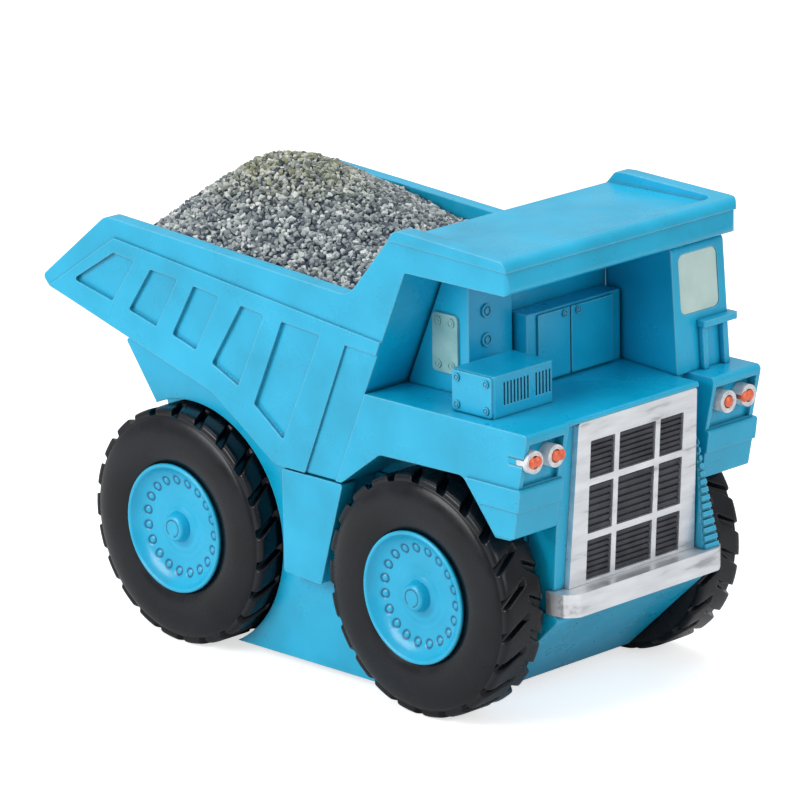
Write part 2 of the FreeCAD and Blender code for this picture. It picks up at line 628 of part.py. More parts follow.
# Stations along the heap: x, height at the walls, height in the middle.
HEAP = [(-88.0, 111.0, 115.5), (-80.0, 119.5, 127.5), (-66.0, 129.0, 141.0), (-54.0, 130.5, 148.6),
        (-43.0, 130.5, 149.6), (-30.0, 128.0, 146.6), (-17.0, 124.6, 141.3), (-4.0, 123.6, 136.4),
        (10.0, 122.0, 131.0), (24.0, 120.6, 126.6), (37.0, 120.4, 124.0)]
SHOULDER_SHARE = 0.62          # how much of the heap's rise is reached half way up its flank


def gravel_load(bed):
    """Heap of crushed stone, bonded into one piece that fills the bed."""
    left = RAIL_LEFT_Y - 0.2
    right = RAIL_RIGHT_Y + 0.2
    sections = []
    for x, edge, crown in HEAP:
        floor = load_floor_z(x)
        flank = edge + SHOULDER_SHARE * (crown - edge)
        ridge = Part.BSplineCurve()
        ridge.interpolate([vec(x, left, edge), vec(x, left / 2, flank), vec(x, 0, crown),
                           vec(x, right / 2, flank), vec(x, right, edge)])
        edges = [
            Part.LineSegment(vec(x, right, floor), vec(x, left, floor)),
            Part.LineSegment(vec(x, left, floor), vec(x, left, edge)), ridge,
            Part.LineSegment(vec(x, right, edge), vec(x, right, floor)),
        ]
        sections.append(Part.Wire([edge_curve.toShape() for edge_curve in edges]))
    heap = Part.makeLoft(sections, True, True).cut(bed)
    return max(heap.Solids, key=lambda solid: solid.Volume)


# ---- Cab and deck equipment ---------------------------------------------------------------
CAB_TOP_Z = 136.8
CAB_SIDE_Y = 51.2


def cab_front_x(z):
    """The cab's front leans back a little."""
    return 95.3 - 0.074 * (z - DECK_Z)


def cab_shell():
    """Cab on the left front corner of the deck, hollow, with openings for its windows."""
    plan = [(98.0, 26.8, 1.5), (98.0, CAB_SIDE_Y, 2.0), (62.0, CAB_SIDE_Y, 1.5), (62.0, 31.4)]
    body = slab_z(plan, DECK_Z, CAB_TOP_Z)
    profile = [(60.0, DECK_Z), (cab_front_x(DECK_Z), DECK_Z), (cab_front_x(CAB_TOP_Z), CAB_TOP_Z, 2.0),
               (60.0, CAB_TOP_Z)]
    body = body.common(slab_y(profile, 20.0, 60.0))
    wall = 2.6
    room = block(62.0 + wall, cab_front_x(CAB_TOP_Z) - wall, 31.4 + wall, CAB_SIDE_Y - wall,
                 DECK_Z - 1.0, CAB_TOP_Z - wall)
    return body.cut([room, window_block(0.0), side_window_block(0.0)]).Solids[0]


WINDSCREEN = ((30.6, 48.0), (115.0, 133.8))
SIDE_WINDOW = ((68.0, 88.0), (115.2, 133.4))
GLASS_DEPTH = 0.9


def window_block(inset):
    """Rounded block at the windscreen, reaching into the wall by the glass's depth."""
    (y0, y1), (z0, z1) = WINDSCREEN
    outline = [(y0 + inset, z0 + inset, 2.4), (y1 - inset, z0 + inset, 2.4),
               (y1 - inset, z1 - inset, 2.4), (y0 + inset, z1 - inset, 2.4)]
    slab = slab_x(outline, 88.0, 100.0)
    front = [(cab_front_x(DECK_Z) - GLASS_DEPTH, DECK_Z), (cab_front_x(DECK_Z) + 5, DECK_Z),
             (cab_front_x(CAB_TOP_Z) + 5, CAB_TOP_Z), (cab_front_x(CAB_TOP_Z) - GLASS_DEPTH, CAB_TOP_Z)]
    return slab.common(slab_y(front, 20.0, 60.0))


def side_window_block(inset):
    (x0, x1), (z0, z1) = SIDE_WINDOW
    outline = [(x0 + inset, z0 + inset, 2.4), (x1 - inset, z0 + inset, 2.4),
               (x1 - inset, z1 - inset, 2.4), (x0 + inset, z1 - inset, 2.4)]
    return slab_y(outline, CAB_SIDE_Y - GLASS_DEPTH, CAB_SIDE_Y + 2.0)


def cab_windscreen():
    """Pane set in the cab's front, standing slightly below the wall's surface."""
    front = [(80.0, DECK_Z), (cab_front_x(DECK_Z) - 0.3, DECK_Z),
             (cab_front_x(CAB_TOP_Z) - 0.3, CAB_TOP_Z), (80.0, CAB_TOP_Z)]
    return window_block(0.05).common(slab_y(front, 20.0, 60.0)).Solids[0]


def cab_side_window():
    return side_window_block(0.05).common(block(60.0, 100.0, 0.0, CAB_SIDE_Y - 0.3, 90.0, 140.0)).Solids[0]


def grab_rail():
    """Guard in front of the cab: two posts under a ledge that reaches past the cab's side."""
    ledge_z = 110.8
    posts = [slab_y([(94.6, DECK_Z), (97.2, DECK_Z), (96.4, ledge_z), (93.6, ledge_z)], low, low + 2.0)
             for low in (37.6, 46.8)]
    ledge = slab_z([(92.0, 37.2, 0.6), (97.6, 37.2, 0.6), (97.6, 53.0, 1.6), (92.0, 53.0, 1.6)],
                   ledge_z - 0.2, ledge_z + 1.8)
    frame = fused(posts + [ledge])
    return frame.cut(cab_envelope()).Solids[0]


def cab_envelope():
    """Space that the cab's outside takes up, for pieces that butt against it."""
    profile = [(60.0, DECK_Z), (cab_front_x(DECK_Z), DECK_Z), (cab_front_x(CAB_TOP_Z), CAB_TOP_Z),
               (60.0, CAB_TOP_Z)]
    return slab_y(profile, 20.0, CAB_SIDE_Y)


BOX_X = (69.6, 86.5)
BOX_Y = (-44.3, -18.5)
BOX_TOP_Z = 110.3


def air_cleaner_box():
    """Intake box on the deck, with two banks of upright louvres in its front."""
    body = slab_z([(BOX_X[0], BOX_Y[0]), (BOX_X[1], BOX_Y[0], 0.8), (BOX_X[1], BOX_Y[1], 0.8),
                   (BOX_X[0], BOX_Y[1])], DECK_Z, BOX_TOP_Z)
    depth = 0.8
    pitch = 1.45
    slots = []
    for start, count in ((-40.0, 8), (-26.2, 5)):
        for i in range(count):
            y = start + pitch * i
            slots.append(block(BOX_X[1] - depth, BOX_X[1] + 1, y, y + 0.7, DECK_Z + 3.6, BOX_TOP_Z - 2.4))
    return body.cut(slots).Solids[0]


def air_cleaner_cover():
    return slab_y([(BOX_X[0] + 0.3, DECK_Z + 0.2, 0.8), (BOX_X[1] - 0.4, DECK_Z + 0.2, 0.8),
                   (BOX_X[1] - 0.4, BOX_TOP_Z - 0.3, 0.8), (BOX_X[0] + 0.3, BOX_TOP_Z - 0.3, 0.8)],
                  BOX_Y[0] - 0.7, BOX_Y[0])


def ring_bolt_y(x, z, face_y, radius, height):
    """Bolt head facing -Y, with a ring pressed in its face."""
    head = rod_y(radius, x, z, face_y - height, face_y)
    groove = rod_y(radius * 0.72, x, z, face_y - height - 0.1, face_y - height * 0.5)
    centre = rod_y(radius * 0.42, x, z, face_y - height, face_y)
    return fused([head.cut(groove), centre])


def ring_bolt_x(y, z, face_x, radius, height):
    """The same bolt head, facing +X."""
    head = rod_x(radius, y, z, face_x, face_x + height)
    groove = rod_x(radius * 0.72, y, z, face_x + height * 0.5, face_x + height + 0.1)
    centre = rod_x(radius * 0.42, y, z, face_x, face_x + height)
    return fused([head.cut(groove), centre])


def cover_bolts():
    inset = 2.4
    return Part.makeCompound([ring_bolt_y(x, z, BOX_Y[0] - 0.7, 1.15, 0.5)
                              for x in (BOX_X[0] + inset, BOX_X[1] - inset)
                              for z in (DECK_Z + inset, BOX_TOP_Z - inset)])


HOUSING_X = 64.3
HOUSING_Y = (-31.8, -13.0)
HOUSING_TOP_Z = 136.6
HOUSING_GAP = 1.0


def equipment_housing():
    """Tall housing between the headboard and the deck, under the canopy."""
    profile = [(head_x(DECK_Z, HOUSING_GAP), DECK_Z), (HOUSING_X, DECK_Z), (HOUSING_X, HOUSING_TOP_Z),
               (head_x(HOUSING_TOP_Z, HOUSING_GAP), HOUSING_TOP_Z)]
    return slab_y(profile, HOUSING_Y[0], HOUSING_Y[1])


PLATE_X = (49.6, 60.2)
PLATE_Z = (103.4, 121.8)


def access_plate():
    (x0, x1), (z0, z1) = PLATE_X, PLATE_Z
    outline = [(x0, z0, 1.6), (x1, z0, 1.6), (x1, z1, 1.6), (x0, z1, 1.6)]
    return slab_y(outline, HOUSING_Y[0] - 0.8, HOUSING_Y[0])


def access_plate_bolts():
    inset = 2.5
    return Part.makeCompound([ring_bolt_y(x, z, HOUSING_Y[0] - 0.8, 1.35, 0.5)
                              for x in (PLATE_X[0] + inset, PLATE_X[1] - inset)
                              for z in (PLATE_Z[0] + inset, PLATE_Z[1] - inset)])


def housing_bolts():
    return Part.makeCompound([ring_bolt_x(-24.4, z, HOUSING_X, 2.1, 0.7) for z in (113.8, 122.9)])


CABINET_X = 69.4
CABINET_Y = (-11.9, 29.6)
CABINET_TOP_Z = 119.6
DOOR_SPLIT_Y = 6.7
CABINET_WALL_X = 61.8
CABINET_WALL_Y = 31.3
DOORS_Y = (-7.6, 25.6)


def equipment_cabinet():
    """Low cabinet beside the cab, with the wall behind it."""
    profile = [(head_x(DECK_Z, HOUSING_GAP), DECK_Z), (CABINET_WALL_X, DECK_Z),
               (CABINET_WALL_X, HOUSING_TOP_Z), (head_x(HOUSING_TOP_Z, HOUSING_GAP), HOUSING_TOP_Z)]
    wall = slab_y(profile, HOUSING_Y[1] + 0.1, CABINET_WALL_Y)
    front = block(CABINET_WALL_X - 0.2, CABINET_X, CABINET_Y[0], CABINET_Y[1], DECK_Z, CABINET_TOP_Z)
    return fused([wall, front])


def cabinet_door(low, high):
    return slab_x([(low, DECK_Z + 0.6, 0.5), (high, DECK_Z + 0.6, 0.5), (high, CABINET_TOP_Z - 0.8, 0.5),
                   (low, CABINET_TOP_Z - 0.8, 0.5)], CABINET_X, CABINET_X + 0.8)


def door_latches():
    return Part.makeCompound([ring_bolt_x(DOOR_SPLIT_Y + step, 117.2, CABINET_X + 0.8, 1.15, 0.5)
                              for step in (-2.8, 3.2)])


LADDER_TOP_Z = 79.0
LADDER_FOOT_Y = 35.2
LADDER_BACK_X = 93.2


def ladder_wedge(forward, inset):
    """Leaning wedge beside the grille frame, its front moved forward and its side inset."""
    low = FRAME_BOTTOM_Z
    inner = LADDER_INNER_Y + 0.1
    top_outer = inner + 2.2
    outline = [(inner, low), (LADDER_FOOT_Y - inset, low), (top_outer - inset, LADDER_TOP_Z),
               (inner, LADDER_TOP_Z)]
    plan = [(LADDER_BACK_X, inner), (98.6, inner), (98.6, inner + 1.6 + inset), (110.0, inner + 1.6 + inset),
            (110.0, LADDER_FOOT_Y), (99.4, LADDER_FOOT_Y), (99.4, FENDER_INNER_Y - 0.2),
            (LADDER_BACK_X, FENDER_INNER_Y - 0.2)]
    side = [(LADDER_BACK_X, low), (104.6 + forward, low), (101.6 + forward, LADDER_TOP_Z),
            (LADDER_BACK_X, LADDER_TOP_Z)]
    wedge = slab_x(outline, LADDER_BACK_X, 110.0).common(slab_z(plan, low, LADDER_TOP_Z))
    return wedge.common(slab_y(side, 20.0, 40.0)).Solids[0]


def boarding_ladder():
    """Ribbed ladder beside the grille; it stands on the bumper and narrows upwards."""
    steps = 14
    pitch = (LADDER_TOP_Z - FRAME_BOTTOM_Z) / steps
    gaps = [block(90.0, 110.0, 20.0, 40.0, FRAME_BOTTOM_Z + pitch * (i + 0.6), FRAME_BOTTOM_Z + pitch * (i + 1))
            for i in range(steps)]
    ridges = ladder_wedge(0.9, 0.3).cut(gaps)
    return fused([ladder_wedge(0.0, 0.0), ridges])


def build():
    """Every piece of the truck by name."""
    pieces = wheel_parts()
    pieces["chassis"] = chassis()
    pieces["base_plate"] = base_plate()
    pieces["base_screws"] = base_screws()
    for side in ("left", "right"):
        pieces["side_tank_" + side] = side_tank(side)
    pieces["front_body"] = front_body()
    pieces["front_bumper"] = front_bumper()
    pieces["grille_frame"] = grille_frame()
    pieces["radiator_grille"] = radiator_grille()
    pieces["headlight_bezels"], pieces["headlight_lenses"] = headlights()
    pieces["boarding_ladder"] = boarding_ladder()
    pieces["cab_shell"] = cab_shell()
    pieces["cab_windscreen"] = cab_windscreen()
    pieces["cab_side_window"] = cab_side_window()
    pieces["grab_rail"] = grab_rail()
    pieces["air_cleaner_box"] = air_cleaner_box()
    pieces["air_cleaner_cover"] = air_cleaner_cover()
    pieces["cover_bolts"] = cover_bolts()
    pieces["equipment_housing"] = equipment_housing()
    pieces["access_plate"] = access_plate()
    pieces["access_plate_bolts"] = access_plate_bolts()
    pieces["housing_bolts"] = housing_bolts()
    pieces["equipment_cabinet"] = equipment_cabinet()
    pieces["cabinet_door_inner"] = cabinet_door(DOOR_SPLIT_Y + 0.3, DOORS_Y[1])
    pieces["cabinet_door_outer"] = cabinet_door(DOORS_Y[0], DOOR_SPLIT_Y - 0.3)
    pieces["door_latches"] = door_latches()
    pieces["dump_bed"] = dump_bed()
    pieces["bed_hinge_pin"] = bed_hinge_pin()
    pieces["gravel_load"] = gravel_load(pieces["dump_bed"])
    return pieces


os.makedirs("parts", exist_ok=True)
for name, shape in build().items():
    print(name, shape.isValid(), len(shape.Solids), round(shape.Volume, 1))
    shape.exportStep("parts/%s.step" % name)
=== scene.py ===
import json
import math
import random

import bmesh
import bpy
from mathutils import Matrix, Vector, noise


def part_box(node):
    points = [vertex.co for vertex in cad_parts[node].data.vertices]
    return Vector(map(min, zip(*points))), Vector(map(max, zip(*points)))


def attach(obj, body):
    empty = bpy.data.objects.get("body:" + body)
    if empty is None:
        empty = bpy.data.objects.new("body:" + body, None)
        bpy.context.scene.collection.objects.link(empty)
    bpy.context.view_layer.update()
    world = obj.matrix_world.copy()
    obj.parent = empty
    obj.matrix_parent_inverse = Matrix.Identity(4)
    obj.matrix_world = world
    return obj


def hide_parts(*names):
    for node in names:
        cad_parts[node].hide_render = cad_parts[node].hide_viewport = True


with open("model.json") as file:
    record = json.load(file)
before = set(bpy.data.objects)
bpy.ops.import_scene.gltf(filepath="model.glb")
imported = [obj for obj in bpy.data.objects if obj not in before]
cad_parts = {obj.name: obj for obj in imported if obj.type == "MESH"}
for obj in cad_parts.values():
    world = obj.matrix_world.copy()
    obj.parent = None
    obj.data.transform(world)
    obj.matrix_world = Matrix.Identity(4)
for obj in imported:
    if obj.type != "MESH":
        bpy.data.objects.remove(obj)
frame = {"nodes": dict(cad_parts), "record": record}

MM = 0.001
SEED = 7
SKY_BLUE = (0.001, 0.37, 0.6)
random.seed(SEED)

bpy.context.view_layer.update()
NODES = frame["nodes"]
BODY_OF = {node: body for body, nodes in frame["record"]["behaviour"]["bodies"].items() for node in nodes}
SLOTS = {part["node"]: part["material_slot"] for part in frame["record"]["subparts"]}


# ---- Camera, light and floor ---------------------------------------------------------------
def make_camera():
    """Long lens from the front right, a little above, level apart from a one-degree roll."""
    azimuth, elevation, roll = math.radians(45.01), math.radians(16.20), math.radians(-1.01)
    right = Vector((math.cos(azimuth), math.sin(azimuth), 0))
    back = Vector((math.sin(azimuth) * math.cos(elevation), -math.cos(azimuth) * math.cos(elevation),
                   math.sin(elevation)))
    up = back.cross(right)
    rolled_right = right * math.cos(roll) + up * math.sin(roll)
    rolled_up = up * math.cos(roll) - right * math.sin(roll)
    data = bpy.data.cameras.new("camera")
    data.lens = 270.0
    data.sensor_width = 36.0
    data.clip_start = 0.05
    data.clip_end = 20.0
    camera = bpy.data.objects.new("camera", data)
    turn = Matrix((rolled_right, rolled_up, back)).transposed()
    camera.matrix_world = Matrix.Translation((1.2788, -1.2756, 0.6018)) @ turn.to_4x4()
    bpy.context.scene.collection.objects.link(camera)
    bpy.context.scene.camera = camera


def area_light(name, place, target, size, power, colour=(1, 1, 1)):
    data = bpy.data.lights.new(name, "AREA")
    data.shape = "RECTANGLE"
    data.size, data.size_y = size
    data.energy = power
    data.color = colour
    light = bpy.data.objects.new(name, data)
    light.location = place
    light.rotation_mode = "QUATERNION"
    light.rotation_quaternion = (Vector(place) - Vector(target)).to_track_quat("Z", "Y")
    bpy.context.scene.collection.objects.link(light)


def make_studio():
    """Broad soft lights over a flat white floor in a white surround."""
    middle = (0, 0, 0.07)
    area_light("key", (-0.25, -0.95, 0.6), middle, (0.7, 0.6), 8.8)
    area_light("top", (0.0, 0.1, 1.1), middle, (0.9, 0.9), 6.5)
    area_light("fill", (0.95, 0.1, 0.5), middle, (0.6, 0.6), 2.6)
    world = bpy.data.worlds.new("surround")
    bpy.context.scene.world = world
    world.use_nodes = True
    world.node_tree.nodes["Background"].inputs["Color"].default_value = (1, 1, 1, 1)
    world.node_tree.nodes["Background"].inputs["Strength"].default_value = 0.5
    mesh = bpy.data.meshes.new("floor")
    half = 3.0
    corners = [(-half, -half, 0), (half, -half, 0), (half, half, 0), (-half, half, 0)]
    mesh.from_pydata(corners, [], [(0, 1, 2, 3)])
    floor = bpy.data.objects.new("floor", mesh)
    bpy.context.scene.collection.objects.link(floor)
    mesh.materials.append(floor_material())
    view = bpy.context.scene.view_settings
    view.view_transform = "Standard"
    view.look = "None"
    view.exposure = 0.0


# ---- Materials -----------------------------------------------------------------------------
class Shader:
    """Small helper that adds and links the nodes of one material."""

    def __init__(self, name, roughness=0.5, metallic=0.0, specular=0.5, coat=0.0):
        self.material = bpy.data.materials.new(name)
        self.material.use_nodes = True
        self.tree = self.material.node_tree
        self.principled = self.tree.nodes["Principled BSDF"]
        self.principled.inputs["Roughness"].default_value = roughness
        self.principled.inputs["Metallic"].default_value = metallic
        self.principled.inputs["Specular IOR Level"].default_value = specular
        self.principled.inputs["Coat Weight"].default_value = coat
        self.place = self.tree.nodes.new("ShaderNodeTexCoord").outputs["Object"]
        self.soft_normal = None

    def add(self, kind, **values):
        """Node of that kind; values set its attributes or, by socket name, its inputs."""
        node = self.tree.nodes.new(kind)
        for key, value in values.items():
            if hasattr(node, key):
                setattr(node, key, value)
            else:
                node.inputs[key.replace("_", " ")].default_value = value
        return node

    def link(self, source, target):
        self.tree.links.new(source, target)

    def noise(self, scale, detail=3.0, rough=0.5, stretch=None):
        """Noise value over the object; scale is in features per metre."""
        node = self.add("ShaderNodeTexNoise")
        node.inputs["Scale"].default_value = scale
        node.inputs["Detail"].default_value = detail
        node.inputs["Roughness"].default_value = rough
        place = self.place
        if stretch:
            mapping = self.add("ShaderNodeMapping")
            mapping.inputs["Scale"].default_value = stretch
            self.link(place, mapping.inputs["Vector"])
            place = mapping.outputs["Vector"]
        self.link(place, node.inputs["Vector"])
        return node.outputs["Fac"]

    def ramp(self, value, stops):
        """Colour ramp of value; stops are (position, colour)."""
        node = self.add("ShaderNodeValToRGB")
        elements = node.color_ramp.elements
        while len(elements) < len(stops):
            elements.new(0.5)
        for element, (position, colour) in zip(elements, stops):
            element.position = position
            element.color = (*colour, 1) if len(colour) == 3 else colour
        self.link(value, node.inputs["Fac"])
        return node.outputs["Color"]

    def span(self, value, low, high, to_low, to_high):
        """Value mapped from one range to another, clamped."""
        node = self.add("ShaderNodeMapRange")
        for name, number in (("From Min", low), ("From Max", high), ("To Min", to_low), ("To Max", to_high)):
            node.inputs[name].default_value = number
        self.link(value, node.inputs["Value"])
        return node.outputs["Result"]

    def mix(self, factor, a, b, blend="MIX"):
        """Mix of two colours; a factor or colour may be a number, a colour or a socket."""
        node = self.add("ShaderNodeMix", data_type="RGBA", blend_type=blend)
        for socket, value in ((node.inputs[0], factor), (node.inputs[6], a), (node.inputs[7], b)):
            if isinstance(value, bpy.types.NodeSocket):
                self.link(value, socket)
            else:
                socket.default_value = value if isinstance(value, (int, float)) else (*value, 1)
        return node.outputs[2]

    def rounded(self, radius):
        """Normal that eases round every edge, and how much of an edge a place is, from 0 to 1."""
        node = self.add("ShaderNodeBevel", samples=6)
        node.inputs["Radius"].default_value = radius
        self.soft_normal = node.outputs["Normal"]
        dot = self.add("ShaderNodeVectorMath", operation="DOT_PRODUCT")
        self.link(self.soft_normal, dot.inputs[0])
        self.link(self.add("ShaderNodeNewGeometry").outputs["Normal"], dot.inputs[1])
        return self.span(dot.outputs["Value"], 0.9, 0.995, 1.0, 0.0)

    def openness(self, distance):
        """1 in the open and on outer edges, lower in inner corners."""
        node = self.add("ShaderNodeAmbientOcclusion", samples=6)
        node.inputs["Distance"].default_value = distance
        return node.outputs["AO"]

    def bump(self, height, distance, strength=1.0):
        node = self.add("ShaderNodeBump")
        if self.soft_normal:
            self.link(self.soft_normal, node.inputs["Normal"])
        node.inputs["Distance"].default_value = distance
        node.inputs["Strength"].default_value = strength
        self.link(height, node.inputs["Height"])
        self.link(node.outputs["Normal"], self.principled.inputs["Normal"])

    def colour(self, socket):
        self.link(socket, self.principled.inputs["Base Color"])

    def roughness(self, socket):
        self.link(socket, self.principled.inputs["Roughness"])


def floor_material():
    s = Shader("floor_white", roughness=0.6, specular=0.2)
    s.colour(s.ramp(s.noise(3.0), [(0.3, (0.7, 0.7, 0.7)), (0.7, (0.73, 0.73, 0.73))]))
    s.principled.inputs["Emission Color"].default_value = (1, 1, 1, 1)
    seen = s.add("ShaderNodeLightPath").outputs["Is Camera Ray"]
    s.link(s.span(seen, 0.0, 1.0, 0.0, 0.66), s.principled.inputs["Emission Strength"])
    return s.material


def blue_paint(name, base, roughness):
    """Satin sky-blue paint over a casting: cloudy, paler on its edges as a painted highlight, darker in its
    creases as painted shade.
    """
    s = Shader(name, roughness=roughness, specular=0.5, coat=0.15)
    s.principled.inputs["Coat Roughness"].default_value = 0.2
    deep = tuple(c * 0.84 for c in base)
    pale = tuple(min(1.0, c * 1.1 + 0.006) for c in base)
    cloudy = s.ramp(s.noise(38.0, 4.0, 0.55), [(0.32, deep), (0.5, base), (0.7, pale)])
    edge = s.rounded(0.0008)
    openness = s.openness(0.0022)
    # Painted highlight: outer edges in the open are lightened towards pale blue, as if catching the light.
    outer = s.mix(s.span(openness, 0.8, 0.95, 0.0, 0.4), (0, 0, 0), edge)
    with_edge_highlight = s.mix(outer, cloudy, (0.28, 0.7, 0.9))
    # Painted shade: inner corners and creases are darkened to a third of the blue.
    with_crease_shade = s.mix(s.span(openness, 0.35, 0.8, 0.8, 0.0), with_edge_highlight, tuple(c * 0.3 for c in base))
    # Painted shade: the sunk ring lines of the rims and hub caps are darkened towards deep blue.
    groove_shade = s.add("ShaderNodeAttribute", attribute_name="groove_shade").outputs["Fac"]
    s.colour(s.mix(s.span(groove_shade, 0.05, 0.7, 0.0, 0.95), with_crease_shade, (0.0, 0.1, 0.22)))
    s.roughness(s.span(s.noise(90.0, 3.0), 0.3, 0.7, roughness - 0.06, roughness + 0.08))
    s.bump(s.noise(900.0, 2.0), 0.00005, 0.25)
    return s.material


def tyre_paint():
    s = Shader("tyre_black", roughness=0.24, specular=0.3)
    s.colour(s.ramp(s.noise(60.0, 4.0), [(0.35, (0.002, 0.003, 0.005)), (0.7, (0.006, 0.008, 0.012))]))
    s.roughness(s.span(s.noise(120.0, 3.0), 0.3, 0.7, 0.2, 0.34))
    s.bump(s.noise(420.0, 3.0), 0.0001, 0.3)
    return s.material


def silver_paint():
    """Silver paint put on by brush: streaks along the piece, thin and greyer in places."""
    s = Shader("silver_brushed", roughness=0.36, metallic=0.75, specular=0.5)
    streak = s.noise(260.0, 3.0, 0.6, (1.0, 0.18, 1.0))
    thin, body, thick = (0.42, 0.43, 0.45), (0.7, 0.72, 0.75), (0.84, 0.86, 0.89)
    s.colour(s.ramp(streak, [(0.3, thin), (0.42, body), (0.7, thick)]))
    s.roughness(s.span(s.noise(150.0, 3.0), 0.3, 0.7, 0.28, 0.5))
    s.bump(streak, 0.00012, 0.35)
    return s.material


def bezel_paint():
    """Silver ring in front, fender blue where the lamp's body passes through the fender."""
    s = Shader("bezel_silver", roughness=0.34, specular=0.5)
    along = s.add("ShaderNodeSeparateXYZ")
    s.link(s.place, along.inputs["Vector"])
    front = s.span(along.outputs["X"], LAMP_RING_X * MM, LAMP_RING_X * MM + 0.0001, 0.0, 1.0)
    silver = s.ramp(s.noise(500.0, 3.0), [(0.3, (0.5, 0.52, 0.55)), (0.7, (0.78, 0.8, 0.82))])
    s.colour(s.mix(front, SKY_BLUE, silver))
    s.bump(s.noise(400.0, 3.0), 0.00008, 0.3)
    return s.material


def steel():
    s = Shader("drawn_steel", roughness=0.3, metallic=1.0)
    streak = s.noise(300.0, 2.0, 0.5, (1, 0.05, 1))
    s.colour(s.ramp(streak, [(0.3, (0.45, 0.45, 0.46)), (0.7, (0.66, 0.66, 0.67))]))
    return s.material


def grille_black():
    s = Shader("grille_black", roughness=0.42, specular=0.4)
    s.colour(s.ramp(s.noise(150.0, 4.0), [(0.3, (0.018, 0.02, 0.026)), (0.7, (0.05, 0.053, 0.065))]))
    s.bump(s.noise(500.0, 3.0), 0.0001, 0.3)
    return s.material


def lens_orange():
    s = Shader("lens_orange", roughness=0.25, specular=0.5, coat=0.4)
    s.colour(s.ramp(s.noise(400.0, 3.0), [(0.3, (0.66, 0.07, 0.02)), (0.7, (0.88, 0.17, 0.06))]))
    return s.material


def window_green():
    s = Shader("window_green", roughness=0.35, specular=0.5)
    s.colour(s.ramp(s.noise(80.0, 3.0), [(0.3, (0.44, 0.6, 0.56)), (0.7, (0.56, 0.7, 0.66))]))
    s.bump(s.noise(300.0, 3.0), 0.00008, 0.3)
    return s.material


def plate_green():
    s = Shader("plate_silver_green", roughness=0.4, metallic=0.25, specular=0.5)
    s.colour(s.ramp(s.noise(160.0, 3.0), [(0.3, (0.2, 0.42, 0.42)), (0.7, (0.34, 0.56, 0.54))]))
    s.bump(s.noise(300.0, 3.0), 0.00008, 0.3)
    return s.material


def stone():
    """Crushed stone: greys with a cool cast, some stones greener or yellower near the top."""
    s = Shader("crushed_stone", roughness=0.75, specular=0.3)
    per_stone = s.add("ShaderNodeAttribute", attribute_name="stone").outputs["Fac"]
    greys = s.ramp(per_stone, [(0.0, (0.05, 0.07, 0.1)), (0.3, (0.17, 0.2, 0.22)), (0.6, (0.38, 0.42, 0.42)),
                               (0.9, (0.66, 0.69, 0.68))])
    moss = s.add("ShaderNodeAttribute", attribute_name="moss").outputs["Fac"]
    mossy = s.mix(moss, greys, (0.33, 0.33, 0.12))
    grain = s.noise(1500.0, 4.0, 0.7)
    s.colour(s.mix(0.5, mossy, s.ramp(grain, [(0.3, (0.25, 0.25, 0.25)), (0.7, (1, 1, 1))]), "MULTIPLY"))
    s.bump(grain, 0.0003, 0.6)
    return s.material


# ---- Pieces -------------------------------------------------------------------------------
def add_piece(name, mesh, node, material, replace=True):
    """Links a mesh as a piece that rides with a CAD node's body, stands for it and takes its finish."""
    piece = bpy.data.objects.new(name, mesh)
    bpy.context.scene.collection.objects.link(piece)
    mesh.materials.clear()
    mesh.materials.append(material)
    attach(piece, BODY_OF[node])
    if replace:
        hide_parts(node)
    return piece


# ---- Wheels --------------------------------------------------------------------------------
AXLE_Z = 38.2
TREAD_PITCHES = 22
TREAD_SLANT = math.tan(math.radians(31))
TREAD_MIDDLE = 42.8
SECTION_MIDDLE = 44.2
GROOVE_FLOOR = 35.9
RING_COUNT = 19
RING_CIRCLE = 15.0
RING_RADIUS = 1.3
RING_LINE = 0.3
RING_DEPTH = 0.3
DOME_HEIGHT = 0.2
RIPPLE_HEIGHT = 0.07
HUB_RING_RADIUS = 2.7
HUB_GAP_ANGLE = 4.5
WHEEL_X = {"front": 60.7, "rear": -44.9}


def smooth(value, low, high):
    """0 below low, 1 above high, easing in between."""
    t = min(1.0, max(0.0, (value - low) / (high - low)))
    return t * t * (3 - 2 * t)


def grid_mesh(name, rows, closed=True):
    """Mesh from rows of points, each row a closed ring; the last row joins the first if closed."""
    width = len(rows[0])
    points = [point for row in rows for point in row]
    faces = []
    for i in range(len(rows) if closed else len(rows) - 1):
        a = i * width
        b = (i + 1) % len(rows) * width
        for j in range(width):
            k = (j + 1) % width
            faces.append((a + j, a + k, b + k, b + j))
    mesh = bpy.data.meshes.new(name)
    mesh.from_pydata(points, [], faces)
    mesh.shade_smooth()
    return mesh


def face_outward(mesh, fill_holes=False, weld=0.0):
    """Turns every face outward, after welding points nearer than weld and filling open rings."""
    work = bmesh.new()
    work.from_mesh(mesh)
    if weld:
        bmesh.ops.remove_doubles(work, verts=work.verts, dist=weld)
    if fill_holes:
        bmesh.ops.holes_fill(work, edges=work.edges, sides=0)
    bmesh.ops.recalc_face_normals(work, faces=work.faces)
    work.to_mesh(mesh)
    work.free()


def point_values(mesh, name, values):
    """Stores one number per point, for a material to read."""
    mesh.attributes.new(name, "FLOAT", "POINT").data.foreach_set("value", values)


def around(centre_x, radius, y, angle):
    """Point in metres at an angle round a wheel's axle; radius and y are in mm."""
    return (MM * (centre_x + radius * math.cos(angle)), y, MM * (AXLE_Z + radius * math.sin(angle)))


